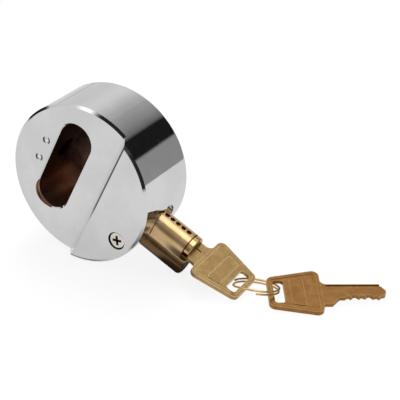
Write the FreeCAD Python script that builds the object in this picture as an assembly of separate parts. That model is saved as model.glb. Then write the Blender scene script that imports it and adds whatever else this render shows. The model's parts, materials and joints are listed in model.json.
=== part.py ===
import FreeCAD, Part
import math
import os

from FreeCAD import Matrix, Placement, Rotation, Vector

# Round padlock with a sliding key cylinder, standing on its rim with two keys on a split ring.
#
# Every piece of the lock is first modelled in the lock's own directions:
#   x runs along the heel's edge, y points away from the cylinder's mouth, z stands out of the hasp face.
# The centre of the hasp face is the origin. One placement then stands the lock on its rim.

# Body
body_radius = 36.5
body_depth = 30.0
front_round = 1.6
rim_chamfer = 1.1
heel_height = 4.0
heel_edge_y = -12.1
heel_foot_y = -9.05
heel_root = 5.0
heel_edge_round = 0.45

# Staple slot in the hasp face
slot_width = 16.2
slot_length = 46.7
slot_depth = 19.0
slot_centre_x = 1.0
slot_centre_y = 10.5
slot_chamfer = 0.6
slot_end_radius = 7.2
slot_end_shift = 1.8
slot_end_aside = 1.4
slot_end_depth = 1.2

# Dowels beside the slot
dowel_radius = 1.25
dowel_length = 7.0
dowel_spacing = 10.2
dowel_centre_x = 1.9
dowel_y = 22.9
dowel_sink = 0.15
dowel_chamfer = 0.25

# Cylinder shell, of figure-eight section, drawn out of the side wall
axis_depth = 12.5
shell_radius = 6.0
lobe_offset = 10.5
lobe_radius = 5.0
waist_radius = 8.0
shell_end_round = 1.8
shell_set_back = 0.3
travel = 20.0
shell_clearance = 0.1
bore_end_gap = 0.5

# Mouth relief in the side wall
relief_radius = 8.3
relief_offset = 1.5
relief_floor_y = -35.0

# Retaining screw in the heel
screw_x = -9.7
screw_set_back = 4.6
screw_head_radius = 3.8
screw_head_height = 2.2
screw_head_sink = 0.5
screw_head_round = 0.5
screw_pocket_gap = 0.4
screw_shank_radius = 2.5
screw_hole_gap = 0.05
screw_point_radius = 1.45
screw_stop_gap = 0.2
screw_shank_clearance = 0.25
recess_length = 4.6
recess_width = 1.25
recess_depth = 1.5
recess_angle = 30.0
guide_flat_height = 4.0
guide_flat_reach = 2.9
guide_gap = 0.25

# Plug
plug_radius = 5.2
plug_gap = 0.06
flange_radius = 5.9
flange_length = 3.0
flange_gap = 0.06
flange_seam = 0.2
flange_round = 0.5
plug_length = 24.4
plug_turn_left = 5.0
plug_turn_locked = 85.0
keyway_gap = 0.08
keyway_end_gap = 0.25
keyway_floor_gap = 0.15
mouth_slot_depth = 2.6
ward_side_gap = 0.12
ward_start = 0.8
ward_root = 0.5

# Pins and springs
pin_count = 6
first_pin = 6.0
last_pin_margin = 3.15
pin_bore_radius = 1.2
pin_radius = 1.12
pin_gap = 0.05
pin_tip_length = 0.7
pin_tip_radius = 0.45
driver_length = 2.8
pin_bore_wall = 0.7
spring_outer_radius = 1.08
spring_inner_radius = 0.8

# Cam on the plug's tail
tail_radius = 2.4
tail_half_flat = 1.7
wing_gap = 0.1
wing_thickness = 2.0
wing_reach = 7.4
wing_width = 3.6
wing_hub_radius = 3.6
chamber_radius = 7.6
chamber_length = 3.9
chamber_side_margin = 3.0
cam_screw_head_radius = 2.6
cam_screw_head_height = 1.2
cam_screw_slot_width = 0.7
cam_screw_slot_depth = 0.6
cam_screw_radius = 1.2
cam_screw_depth = 0.6
cam_groove_gap = 0.35

# Locking bolt
bolt_radius = 4.75
bolt_gap = 0.1
bolt_set_back = 0.4
bolt_tip_chamfer = 0.9
bolt_socket_gap = 2.5
spigot_radius = 3.0
spigot_length = 4.4
spigot_end_gap = 0.3
bolt_pin_radius = 1.0
bolt_pin_length = 11.2

# Keys, each in its own directions: x towards the tip, y towards the spine, z across the blade
bow_width = 27.0
bow_end_width = 17.4
bow_length = 23.2
bow_corner = 3.0
bow_thickness = 2.2
bow_web = 1.8
bow_border = 1.5
pad_start = 7.4
pad_length = 6.0
pad_width = 18.0
pad_corner = 0.8
blade_thickness = 2.0
spine_height = 4.4
crest_height = -3.75
key_tip_wall = 1.4
neck_root = 1.5
neck_spine_round = 2.8
neck_block_round = 1.4
block_height = -7.7
block_end = 3.9
slope_end = 7.5
tip_shoulder_length = 2.5
tip_step_length = 1.4
tip_step_height = 2.3
tip_nose_height = -0.8
tip_round = 1.0
tip_rake = 0.4
tip_shoulder_round = 0.4
block_round = 0.6
cut_floor_width = 0.9
cut_side = 2.6
cut_depths = [0.8, 1.5, 1.1, 1.6, 0.7, 1.2]
groove_depth = 0.55
groove_start = 2.0
upper_groove_low = 2.9
upper_groove_high = 4.0
lower_groove_low = -0.9
lower_groove_high = 0.3
ring_hole_centre = 18.4
ring_hole_width = 4.6
ring_hole_length = 13.8
ring_hole_corner = 1.4
key_shoulder_gap = 5.1
spine_reach = 5.1
key_short_of_square = 5.0

# Resting place of the lock, the loose key and the split ring
bow_floor_gap = 0.5
loose_key_across = 24.959
loose_key_back = 12.706
loose_key_drop = 1.047
loose_key_yaw = 34.49
loose_key_pitch = 0.26
loose_key_roll = 9.36
ring_wire = 0.9
ring_pitch = 1.32
ring_radius = 9.884
ring_across = 8.373
ring_back = 1.613
ring_rise = 0.174
ring_normal = Vector(-0.067, 0.316, 0.946)
ring_start_way = Vector(-0.9615, -0.2740, 0.0233)
ring_ramp_angle = 90.0
ring_end_gap = 9.0
full_turn = 360.0


lock_axis_z = -axis_depth
lobe_x = -lobe_offset
shell_end_y = shell_set_back - body_radius - travel
heel_top = heel_height
slot_half = slot_width / 2
bolt_tip_y = slot_centre_y - slot_half - bolt_set_back
key_axis_shift = spine_reach - spine_height
crest_radius = -(crest_height + key_axis_shift)
keyway_half = blade_thickness / 2 + keyway_gap
wing_start = plug_length + wing_gap
wing_end = wing_start + wing_thickness
chamber_end = plug_length + chamber_length
shell_inner_y = shell_end_y + chamber_end + spigot_length + spigot_end_gap
bore_end_y = shell_inner_y + travel + bore_end_gap
screw_y = shell_inner_y - screw_set_back
pin_pitch = (plug_length - first_pin - last_pin_margin) / (pin_count - 1)
pin_bore_depth = lobe_offset + lobe_radius - pin_bore_wall
blade_end = key_shoulder_gap + plug_length - key_tip_wall
tip_shoulder = blade_end - tip_shoulder_length
tip_step = blade_end - tip_step_length
chamber_margin = math.degrees(math.asin(wing_width / 2 / plug_radius)) + chamber_side_margin
outside = 10.0
past = 1.0


def rounded_outline(corners, z=0.0):
    """Closed outline through corners given as (x, y, radius)."""
    count = len(corners)
    starts = []
    ends = []
    middles = []
    for i in range(count):
        x, y, radius = corners[i]
        here = Vector(x, y, z)
        before = Vector(corners[i - 1][0], corners[i - 1][1], z) - here
        after = Vector(corners[(i + 1) % count][0], corners[(i + 1) % count][1], z) - here
        before.normalize()
        after.normalize()
        if radius == 0:
            starts.append(here)
            ends.append(here)
            middles.append(None)
            continue
        half_angle = before.getAngle(after) / 2
        reach = radius / math.tan(half_angle)
        inward = before + after
        inward.normalize()
        starts.append(here + before * reach)
        ends.append(here + after * reach)
        middles.append(here + inward * (radius / math.sin(half_angle) - radius))
    edges = []
    for i in range(count):
        if middles[i] is not None:
            edges.append(Part.Arc(starts[i], middles[i], ends[i]).toShape())
        following = starts[(i + 1) % count]
        if (following - ends[i]).Length > 1e-6:
            edges.append(Part.makeLine(ends[i], following))
    return Part.Wire(edges)


def plate(corners, bottom, top):
    face = Part.Face(rounded_outline(corners, bottom))
    return face.extrude(Vector(0, 0, top - bottom))


def box_between(x_low, x_high, y_low, y_high, z_low, z_high):
    return Part.makeBox(x_high - x_low, y_high - y_low, z_high - z_low, Vector(x_low, y_low, z_low))


def rod(radius, y_low, y_high, x=0.0, z=lock_axis_z):
    """Cylinder along y."""
    return Part.makeCylinder(radius, y_high - y_low, Vector(x, y_low, z), Vector(0, 1, 0))


def post(radius, x, y, z_low, z_high):
    """Cylinder along z."""
    return Part.makeCylinder(radius, z_high - z_low, Vector(x, y, z_low))


def edges_where(shape, wanted):
    return [edge for edge in shape.Edges if wanted(edge)]


def in_plane(edge, axis, value):
    box = edge.BoundBox
    low = getattr(box, axis + "Min")
    high = getattr(box, axis + "Max")
    return abs(low - value) < 1e-4 and abs(high - value) < 1e-4


def obround(x_low, x_high, y_centre, radius, z_low, z_high):
    """Slot-shaped prism along x with full-radius ends."""
    left = x_low + radius
    right = x_high - radius
    corners = [
        Part.makeLine(Vector(left, y_centre - radius, z_low), Vector(right, y_centre - radius, z_low)),
        Part.Arc(
            Vector(right, y_centre - radius, z_low),
            Vector(x_high, y_centre, z_low),
            Vector(right, y_centre + radius, z_low),
        ).toShape(),
        Part.makeLine(Vector(right, y_centre + radius, z_low), Vector(left, y_centre + radius, z_low)),
        Part.Arc(
            Vector(left, y_centre + radius, z_low),
            Vector(x_low, y_centre, z_low),
            Vector(left, y_centre - radius, z_low),
        ).toShape(),
    ]
    return Part.Face(Part.Wire(corners)).extrude(Vector(0, 0, z_high - z_low))


def figure_eight(grow, y_low, y_high):
    """Prism along y: the plug circle and the pin lobe, joined by two hollow waists."""
    upper = shell_radius + grow
    lower = lobe_radius + grow
    waist = waist_radius - grow
    reach_upper = upper + waist
    reach_lower = lower + waist
    waist_x = (reach_lower ** 2 - reach_upper ** 2 - lobe_offset ** 2) / (2 * lobe_offset)
    waist_z = math.sqrt(reach_upper ** 2 - waist_x ** 2)
    middle = Vector(0, y_low, lock_axis_z)
    lobe = Vector(lobe_x, y_low, lock_axis_z)
    edges = []
    joints = {}
    for side in (1, -1):
        centre = Vector(waist_x, y_low, lock_axis_z + side * waist_z)
        joints[side] = (
            middle + (centre - middle) * (upper / reach_upper),
            centre - Vector(0, 0, side * waist),
            lobe + (centre - lobe) * (lower / reach_lower),
        )
        edges.append(Part.Arc(joints[side][0], joints[side][1], joints[side][2]).toShape())
    edges.append(Part.Arc(joints[1][0], middle + Vector(upper, 0, 0), joints[-1][0]).toShape())
    edges.append(Part.Arc(joints[1][2], lobe - Vector(lower, 0, 0), joints[-1][2]).toShape())
    face = Part.Face(Part.Wire(Part.__sortEdges__(edges)))
    return face.extrude(Vector(0, y_high - y_low, 0))


def wedge(radius, first, last, y_low, y_high):
    """Part of a disc about the plug's axis, its angles counted from the lobe towards -z."""
    def rim(angle):
        turn = math.radians(angle)
        return Vector(-radius * math.cos(turn), y_low, lock_axis_z - radius * math.sin(turn))
    centre = Vector(0, y_low, lock_axis_z)
    arc = Part.Arc(rim(first), rim((first + last) / 2), rim(last)).toShape()
    edges = [Part.makeLine(centre, rim(first)), arc, Part.makeLine(rim(last), centre)]
    return Part.Face(Part.Wire(edges)).extrude(Vector(0, y_high - y_low, 0))


def pin_place(index):
    """Distance of a pin from the shell's outer end."""
    return first_pin + index * pin_pitch


def make_disc():
    disc = Part.makeCylinder(body_radius, body_depth, Vector(0, 0, -body_depth))
    disc = disc.makeFillet(front_round, edges_where(disc, lambda edge: in_plane(edge, "Z", -body_depth)))
    return disc.makeChamfer(rim_chamfer, edges_where(disc, lambda edge: in_plane(edge, "Z", 0.0)))


def make_heel():
    segment = Part.makeCylinder(body_radius, heel_root + heel_height, Vector(0, 0, -heel_root))
    rim = edges_where(segment, lambda edge: in_plane(edge, "Z", heel_top))
    segment = segment.makeChamfer(rim_chamfer, rim)
    far = -body_radius - outside
    side = [
        Vector(-body_radius, heel_foot_y, 0),
        Vector(-body_radius, heel_edge_y, heel_top),
        Vector(-body_radius, far, heel_top),
        Vector(-body_radius, far, -heel_root),
        Vector(-body_radius, heel_foot_y, -heel_root),
    ]
    wall = Part.Face(Part.makePolygon(side + side[:1])).extrude(Vector(2 * body_radius, 0, 0))
    corner = edges_where(wall, lambda edge: in_plane(edge, "Z", heel_top) and in_plane(edge, "Y", heel_edge_y))
    return segment.common(wall.makeFillet(heel_edge_round, corner))


def make_slot_cut():
    left = slot_centre_x - slot_length / 2
    right = slot_centre_x + slot_length / 2
    slot = obround(left, right, slot_centre_y, slot_half, -slot_depth, past)
    lip = slot_chamfer + past
    flare = []
    for grow, height in ((0.0, -slot_chamfer), (lip, past)):
        ring = obround(left - grow, right + grow, slot_centre_y, slot_half + grow, height, height + past)
        face = [each for each in ring.Faces if in_plane(each, "Z", height)][0]
        flare.append(face.OuterWire)
    mouth = Part.makeLoft(flare, True)
    sink_x = left + slot_half - slot_end_shift
    sink = post(slot_end_radius, sink_x, slot_centre_y + slot_end_aside, -slot_end_depth, past)
    return slot.fuse([mouth, sink])


def make_cylinder_cuts():
    bore = figure_eight(shell_clearance, -body_radius - outside, bore_end_y)
    relief = rod(relief_radius, -body_radius - outside, relief_floor_y, 0.0, lock_axis_z - relief_offset)
    bolt_bore = rod(bolt_radius + bolt_gap, bore_end_y - past, slot_centre_y)
    bolt_tip_locked = bolt_tip_y + travel
    socket = rod(bolt_radius + bolt_gap, slot_centre_y, bolt_tip_locked + bolt_socket_gap)
    cuts = [bore, relief, bolt_bore, socket]
    groove_low = shell_end_y + wing_start - cam_groove_gap
    groove_high = shell_end_y + wing_end + cam_groove_gap
    for moved in (0.0, travel):
        cuts.append(rod(chamber_radius + shell_clearance, groove_low + moved, groove_high + moved))
    return cuts


def make_screw_cuts():
    seat = heel_top - screw_head_sink - screw_head_height
    pocket = post(screw_head_radius + screw_pocket_gap, screw_x, screw_y, seat, heel_top + past)
    hole = post(screw_shank_radius + screw_hole_gap, screw_x, screw_y, lock_axis_z, seat)
    return [pocket, hole]


def dowel_places():
    return [dowel_centre_x - dowel_spacing / 2, dowel_centre_x + dowel_spacing / 2]


def make_body():
    body = make_disc().fuse(make_heel()).removeSplitter()
    dowel_holes = [post(dowel_radius, x, dowel_y, -dowel_sink - dowel_length, past) for x in dowel_places()]
    return body.cut([make_slot_cut()] + make_cylinder_cuts() + make_screw_cuts() + dowel_holes)


def make_dowel(x):
    dowel = post(dowel_radius, x, dowel_y, -dowel_sink - dowel_length, -dowel_sink)
    rim = edges_where(dowel, lambda edge: in_plane(edge, "Z", -dowel_sink))
    return dowel.makeChamfer(dowel_chamfer, rim)


def make_retaining_screw():
    top = heel_top - screw_head_sink
    seat = top - screw_head_height
    shank_end = lock_axis_z + lobe_radius + screw_shank_clearance
    point_end = lock_axis_z + guide_flat_height + guide_gap
    head = post(screw_head_radius, screw_x, screw_y, seat, top)
    head = head.makeFillet(screw_head_round, edges_where(head, lambda edge: in_plane(edge, "Z", top)))
    shank = post(screw_shank_radius, screw_x, screw_y, shank_end, seat)
    point = post(screw_point_radius, screw_x, screw_y, point_end, shank_end)
    screw = head.fuse([shank, point])
    for turn in (recess_angle, recess_angle + 90.0):
        arm = box_between(
            -recess_length / 2, recess_length / 2, -recess_width / 2, recess_width / 2, -recess_depth, past
        )
        arm.Placement = Placement(Vector(screw_x, screw_y, top), Rotation(Vector(0, 0, 1), turn))
        screw = screw.cut(arm)
    return screw


def make_shell():
    shell = figure_eight(0.0, shell_end_y, shell_inner_y)
    end = edges_where(shell, lambda edge: in_plane(edge, "Y", shell_end_y))
    shell = shell.makeFillet(shell_end_round, end)
    face_cut = rod(shell_radius + flange_gap, shell_end_y - past, shell_end_y + flange_length)
    plug_bore = rod(plug_radius + plug_gap, shell_end_y, shell_end_y + chamber_end)
    chamber_low = shell_end_y + plug_length
    chamber_high = shell_end_y + chamber_end
    first = -plug_turn_left - chamber_margin
    last = plug_turn_locked + chamber_margin
    chamber = wedge(chamber_radius, first, last, chamber_low, chamber_high)
    spigot_bore = rod(spigot_radius + plug_gap, chamber_high, shell_inner_y + past)
    cuts = [face_cut, plug_bore, chamber, spigot_bore, bolt_pin_rod(2 * shell_radius)]
    for index in range(pin_count):
        start = Vector(shell_radius + past, shell_end_y + pin_place(index), lock_axis_z)
        length = pin_bore_depth + shell_radius + past
        cuts.append(Part.makeCylinder(pin_bore_radius, length, start, Vector(-1, 0, 0)))
    return shell.cut(cuts + [make_guide_flat()])


def make_guide_flat():
    """Flat along the lobe that the retaining screw's point passes over; the ridge it leaves is the stop."""
    edge = lobe_x + guide_flat_reach
    stop = screw_y + screw_point_radius + screw_stop_gap
    bottom = lock_axis_z + guide_flat_height
    return box_between(edge - outside, edge, shell_end_y - past, stop, bottom, bottom + outside)


def bolt_pin_rod(length):
    y = shell_inner_y - spigot_length / 2
    return post(bolt_pin_radius, 0.0, y, lock_axis_z - length / 2, lock_axis_z + length / 2)


def make_locking_bolt():
    rod_part = rod(bolt_radius, shell_inner_y, bolt_tip_y)
    rod_part = rod_part.makeChamfer(
        bolt_tip_chamfer, edges_where(rod_part, lambda edge: in_plane(edge, "Y", bolt_tip_y))
    )
    spigot = rod(spigot_radius, shell_inner_y - spigot_length, shell_inner_y)
    return rod_part.fuse(spigot).cut(bolt_pin_rod(bolt_pin_length))


def plug_directions(shape):
    """Turns a piece made with its pins towards +z to the plug's resting angle."""
    turned = shape.copy()
    turned.rotate(Vector(0, 0, lock_axis_z), Vector(0, 1, 0), -key_short_of_square)
    return turned


def make_ward(low, high, side):
    """Rib of the keyway that runs in a groove of the blade; low and high count from the key's middle."""
    wall = keyway_half + ward_root
    reach = blade_thickness / 2 - groove_depth + ward_side_gap
    bottom = lock_axis_z - (high + key_axis_shift) + ward_side_gap
    top = lock_axis_z - (low + key_axis_shift) - ward_side_gap
    start = shell_end_y + ward_start
    end = shell_end_y + key_tip_reach() + keyway_end_gap
    if side > 0:
        return box_between(-wall, -reach, start, end, bottom, top)
    return box_between(reach, wall, start, end, bottom, top)


def key_tip_reach():
    """Depth of the key's tip behind the plug's face."""
    return blade_end - key_shoulder_gap


def make_plug():
    flange = rod(flange_radius, shell_end_y, shell_end_y + flange_length - flange_seam)
    rim = edges_where(flange, lambda edge: in_plane(edge, "Y", shell_end_y))
    flange = flange.makeFillet(flange_round, rim)
    barrel = rod(plug_radius, shell_end_y, shell_end_y + plug_length)
    plug = flange.fuse([barrel, make_tail(tail_radius, tail_half_flat)])
    low = lock_axis_z - 2 * flange_radius
    keyway_low = lock_axis_z + crest_radius + keyway_floor_gap
    keyway_end = shell_end_y + key_tip_reach() + keyway_end_gap
    keyway = box_between(-keyway_half, keyway_half, shell_end_y - past, keyway_end, low, keyway_low)
    high = lock_axis_z + 2 * flange_radius
    face_slot_end = shell_end_y + mouth_slot_depth
    face_slot = box_between(-keyway_half, keyway_half, shell_end_y - past, face_slot_end, low, high)
    plug = plug.cut([keyway, face_slot])
    wards = [
        make_ward(upper_groove_low, upper_groove_high, 1),
        make_ward(lower_groove_low, lower_groove_high, -1),
    ]
    pin_floor = lock_axis_z + crest_radius
    thread_start = shell_end_y + plug_length - cam_screw_depth
    cuts = [rod(cam_screw_radius, thread_start, shell_end_y + wing_end + past)]
    for index in range(pin_count):
        cuts.append(post(pin_bore_radius, 0.0, shell_end_y + pin_place(index), pin_floor, high))
    return plug_directions(plug.fuse(wards).cut(cuts))


def make_tail(radius, half_flat):
    low = shell_end_y + plug_length
    high = shell_end_y + wing_end
    stub = rod(radius, low, high)
    flats = box_between(-half_flat, half_flat, low, high, lock_axis_z - radius, lock_axis_z + radius)
    return stub.common(flats)


def make_key_pin(index):
    y = shell_end_y + pin_place(index)
    tip = lock_axis_z + crest_radius + pin_gap
    shoulder = tip + pin_tip_length
    end = lock_axis_z + plug_radius - pin_gap
    cone = Part.makeCone(pin_tip_radius, pin_radius, pin_tip_length, Vector(0, y, tip))
    body = post(pin_radius, 0.0, y, shoulder, end)
    dome = rod(plug_radius - pin_gap, y - 2 * pin_radius, y + 2 * pin_radius)
    return plug_directions(cone.fuse(body).common(dome))


def make_driver(index):
    start = Vector(-(plug_radius + pin_gap), shell_end_y + pin_place(index), lock_axis_z)
    return Part.makeCylinder(pin_radius, driver_length, start, Vector(-1, 0, 0))


def make_spring(index):
    begin = plug_radius + pin_gap + driver_length + pin_gap
    length = pin_bore_depth - begin - pin_gap
    start = Vector(-begin, shell_end_y + pin_place(index), lock_axis_z)
    sleeve = Part.makeCylinder(spring_outer_radius, length, start, Vector(-1, 0, 0))
    return sleeve.cut(Part.makeCylinder(spring_inner_radius, length, start, Vector(-1, 0, 0)))


def make_cam_wing():
    low = shell_end_y + wing_start
    high = shell_end_y + wing_end
    hub = rod(wing_hub_radius, low, high)
    half = wing_width / 2
    finger = box_between(-wing_reach - past, 0.0, low, high, lock_axis_z - half, lock_axis_z + half)
    finger = finger.common(rod(wing_reach, low, high))
    hole = make_tail(tail_radius, tail_half_flat)
    hole.rotate(Vector(0, 0, lock_axis_z), Vector(0, 1, 0), -key_short_of_square)
    return hub.fuse(finger).cut(hole)


def make_cam_screw():
    seat = shell_end_y + wing_end
    top = seat + cam_screw_head_height
    head = rod(cam_screw_head_radius, seat, top)
    shank = rod(cam_screw_radius, shell_end_y + plug_length - cam_screw_depth, seat)
    half = cam_screw_slot_width / 2
    bottom = top - cam_screw_slot_depth
    slot = box_between(-outside, outside, bottom, top + past, lock_axis_z - half, lock_axis_z + half)
    return head.fuse(shank).cut(slot)


def bow_corners(inset):
    """Corners of the bow, a trapezoid that narrows away from the blade."""
    slope = (bow_width - bow_end_width) / 2 / bow_length
    stretch = math.hypot(1.0, slope)
    wide = bow_width / 2 - inset * stretch - inset * slope
    narrow = bow_end_width / 2 - inset * stretch + inset * slope
    radius = bow_corner - inset
    return [
        (-inset, wide, radius),
        (-bow_length + inset, narrow, radius),
        (-bow_length + inset, -narrow, radius),
        (-inset, -wide, radius),
    ]


def make_bow():
    half = bow_thickness / 2
    web = bow_web / 2
    bow = plate(bow_corners(0.0), -half, half)
    for low, high in ((web, half + past), (-half - past, -web)):
        bow = bow.cut(plate(bow_corners(bow_border), low, high))
    pad_half = pad_width / 2
    taper = pad_length * (bow_width - bow_end_width) / 2 / bow_length
    pad = plate(
        [
            (-pad_start, pad_half, pad_corner),
            (-pad_start - pad_length, pad_half - taper, pad_corner),
            (-pad_start - pad_length, -pad_half + taper, pad_corner),
            (-pad_start, -pad_half, pad_corner),
        ],
        -half,
        half,
    )
    hole_half = ring_hole_length / 2
    hole_low = -ring_hole_centre - ring_hole_width / 2
    hole_high = -ring_hole_centre + ring_hole_width / 2
    hole = plate(
        [
            (hole_high, hole_half, ring_hole_corner),
            (hole_low, hole_half, ring_hole_corner),
            (hole_low, -hole_half, ring_hole_corner),
            (hole_high, -hole_half, ring_hole_corner),
        ],
        -outside,
        outside,
    )
    return bow.fuse(pad).cut(hole)


def make_blade():
    half = blade_thickness / 2
    outline = [
        (-neck_root, spine_height + neck_spine_round, 0),
        (0.0, spine_height + neck_spine_round, 0),
        (0.0, spine_height, neck_spine_round),
        (tip_shoulder, spine_height, tip_shoulder_round),
        (tip_step, tip_step_height, tip_shoulder_round),
        (blade_end, tip_nose_height + tip_round, tip_round),
        (blade_end - tip_rake, tip_nose_height - tip_round, tip_round),
        (tip_shoulder, crest_height, tip_round),
        (slope_end, crest_height, tip_round),
        (block_end, block_height, block_round),
        (0.0, block_height, neck_block_round),
        (0.0, block_height - neck_block_round, 0),
        (-neck_root, block_height - neck_block_round, 0),
    ]
    blade = plate(outline, -half, half)
    cuts = []
    for index in range(pin_count):
        centre = key_shoulder_gap + pin_place(index)
        floor = crest_height + cut_depths[index]
        narrow = cut_floor_width / 2
        notch = [
            (centre - narrow, floor, 0),
            (centre + narrow, floor, 0),
            (centre + narrow + cut_side, floor - cut_side, 0),
            (centre - narrow - cut_side, floor - cut_side, 0),
        ]
        cuts.append(plate(notch, -outside, outside))
    end = blade_end + past
    bottom = half - groove_depth
    cuts.append(box_between(groove_start, end, upper_groove_low, upper_groove_high, bottom, outside))
    cuts.append(box_between(groove_start, end, lower_groove_low, lower_groove_high, -outside, -bottom))
    return blade.cut(cuts)


def make_key():
    return make_bow().fuse(make_blade()).removeSplitter()


def key_in_plug():
    turn = math.radians(key_short_of_square)
    sine = math.sin(turn)
    cosine = math.cos(turn)
    place = Matrix(
        0, sine, -cosine, key_axis_shift * sine,
        1, 0, 0, shell_end_y - key_shoulder_gap,
        0, -cosine, -sine, lock_axis_z - key_axis_shift * cosine,
        0, 0, 0, 1,
    )
    key = make_key()
    key.Placement = Placement(place)
    return key


def resting_tilt():
    """Angle of the cylinder below the level, with the bow's lowest corner just off the surface."""
    turn = math.radians(key_short_of_square)
    reach = key_axis_shift - bow_end_width / 2
    corner_x = -bow_thickness / 2 * math.cos(turn) + reach * math.sin(turn)
    corner_y = shell_end_y - key_shoulder_gap - bow_length
    distance = math.hypot(corner_x, corner_y)
    return math.asin((body_radius - bow_floor_gap) / distance) - math.atan2(-corner_x, -corner_y)


def stand(shape):
    """Stands a piece of the lock on its rim, with the hasp face towards -y."""
    tilt = resting_tilt()
    sine = math.sin(tilt)
    cosine = math.cos(tilt)
    upright = Matrix(sine, -cosine, 0, 0, 0, 0, -1, 0, cosine, sine, 0, 0, 0, 0, 0, 1)
    standing = shape.copy()
    standing.Placement = Placement(upright).multiply(standing.Placement)
    return standing


def hanging_place():
    """Middle of the ring's hole in the key that stands in the plug, with the lock on its rim."""
    turn = math.radians(key_short_of_square)
    x = key_axis_shift * math.sin(turn)
    y = shell_end_y - key_shoulder_gap - ring_hole_centre
    z = lock_axis_z - key_axis_shift * math.cos(turn)
    tilt = resting_tilt()
    across = x * math.sin(tilt) - y * math.cos(tilt)
    return Vector(across, -z, x * math.cos(tilt) + y * math.sin(tilt))


def ring_centre():
    return hanging_place() + Vector(ring_across, ring_back, ring_rise)


def loose_key():
    key = make_key()
    place = ring_centre() + Vector(loose_key_across, loose_key_back, -loose_key_drop)
    key.Placement = Placement(place, Rotation(loose_key_yaw, loose_key_pitch, loose_key_roll))
    return key


def biarc(start, start_way, end, end_way):
    """Two arcs that meet smoothly between two points with given directions."""
    span = end - start
    ways = start_way + end_way
    square = 2 * (1 - start_way.dot(end_way))
    product = span.dot(ways)
    if square < 1e-9:
        reach = span.dot(span) / (4 * span.dot(end_way))
    else:
        reach = (math.sqrt(product ** 2 + square * span.dot(span)) - product) / square
    knot = (start + start_way * reach + end - end_way * reach) * 0.5
    return [arc_from(start, start_way, knot), arc_from(end, end_way * -1, knot)]


def arc_from(start, way, end):
    """Arc that leaves a point in a given direction, through its middle point."""
    chord = end - start
    side = chord - way * chord.dot(way)
    side.normalize()
    half_turn = way.getAngle(chord)
    sagitta = chord.Length / 2 * math.tan(half_turn / 2)
    forward = chord * (1 / chord.Length)
    across = side - forward * side.dot(forward)
    across.normalize()
    middle = (start + end) * 0.5 - across * sagitta
    return Part.Arc(start, middle, end)


def ring_stations():
    """Angles and heights along the split ring: one turn, a ramp, and a second turn beside it."""
    low = -ring_pitch / 2
    high = ring_pitch / 2
    first = ring_ramp_angle + ring_end_gap - full_turn
    last = full_turn - ring_end_gap
    angles = [first, -180.0, -90.0, 0.0, ring_ramp_angle, 180.0, 270.0, last]
    heights = [low, low, low, low, high, high, high, high]
    return list(zip(angles, heights))


def split_ring():
    normal = Vector(ring_normal)
    normal.normalize()
    centre = ring_centre()
    along = ring_start_way - normal * ring_start_way.dot(normal)
    along.normalize()
    across = normal.cross(along)

    def point(angle, height):
        turn = math.radians(angle)
        outward = along * math.cos(turn) + across * math.sin(turn)
        return centre + outward * ring_radius + normal * height

    def way(angle):
        turn = math.radians(angle)
        return across * math.cos(turn) - along * math.sin(turn)

    arcs = []
    stations = ring_stations()
    for (first, low), (last, high) in zip(stations, stations[1:]):
        arcs += biarc(point(first, low), way(first), point(last, high), way(last))
    spine = Part.Wire(Part.__sortEdges__([arc.toShape() for arc in arcs]))
    report_ring_gap(arcs)
    start = point(stations[0][0], stations[0][1])
    section = Part.Wire(Part.makeCircle(ring_wire / 2, start, way(stations[0][0])))
    return spine.makePipeShell([section], True, False)


def report_ring_gap(arcs):
    """Prints the least gap between two stretches of the ring's wire."""
    samples = 12
    points = []
    for arc in arcs:
        ends = (arc.FirstParameter, arc.LastParameter)
        for step in range(samples):
            points.append(arc.value(ends[0] + (ends[1] - ends[0]) * step / samples))
    neighbours = 2 * samples
    least = min(
        (points[i] - points[j]).Length
        for i in range(len(points))
        for j in range(i + neighbours, len(points))
    )
    print("least gap of the ring's wire to itself", round(least - ring_wire, 3))


def make_pieces():
    pieces = {
        "lock_body": stand(make_body()),
        "retaining_screw": stand(make_retaining_screw()),
        "cylinder_shell": stand(make_shell()),
        "locking_bolt": stand(make_locking_bolt()),
        "bolt_cross_pin": stand(bolt_pin_rod(bolt_pin_length)),
        "cylinder_plug": stand(make_plug()),
        "cam_wing": stand(make_cam_wing()),
        "cam_screw": stand(make_cam_screw()),
        "key_in_plug": stand(key_in_plug()),
        "loose_key": loose_key(),
        "split_ring": split_ring(),
    }
    for index, x in enumerate(dowel_places()):
        pieces["slot_dowel_%d" % (index + 1)] = stand(make_dowel(x))
    for index in range(pin_count):
        name = index + 1
        pieces["key_pin_%d" % name] = stand(make_key_pin(index))
        pieces["driver_pin_%d" % name] = stand(make_driver(index))
        pieces["pin_spring_%d" % name] = stand(make_spring(index))
    return pieces


os.makedirs("parts", exist_ok=True)
for name, shape in make_pieces().items():
    shape.exportStep(os.path.join("parts", name + ".step"))
    print(name, "solids", len(shape.Solids), "volume", round(shape.Volume, 1), "valid", shape.isValid())
print("tilt of the cylinder", round(math.degrees(resting_tilt()), 3))
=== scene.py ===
import json
import math
import bpy
import bmesh
from mathutils import Matrix, Vector


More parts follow.
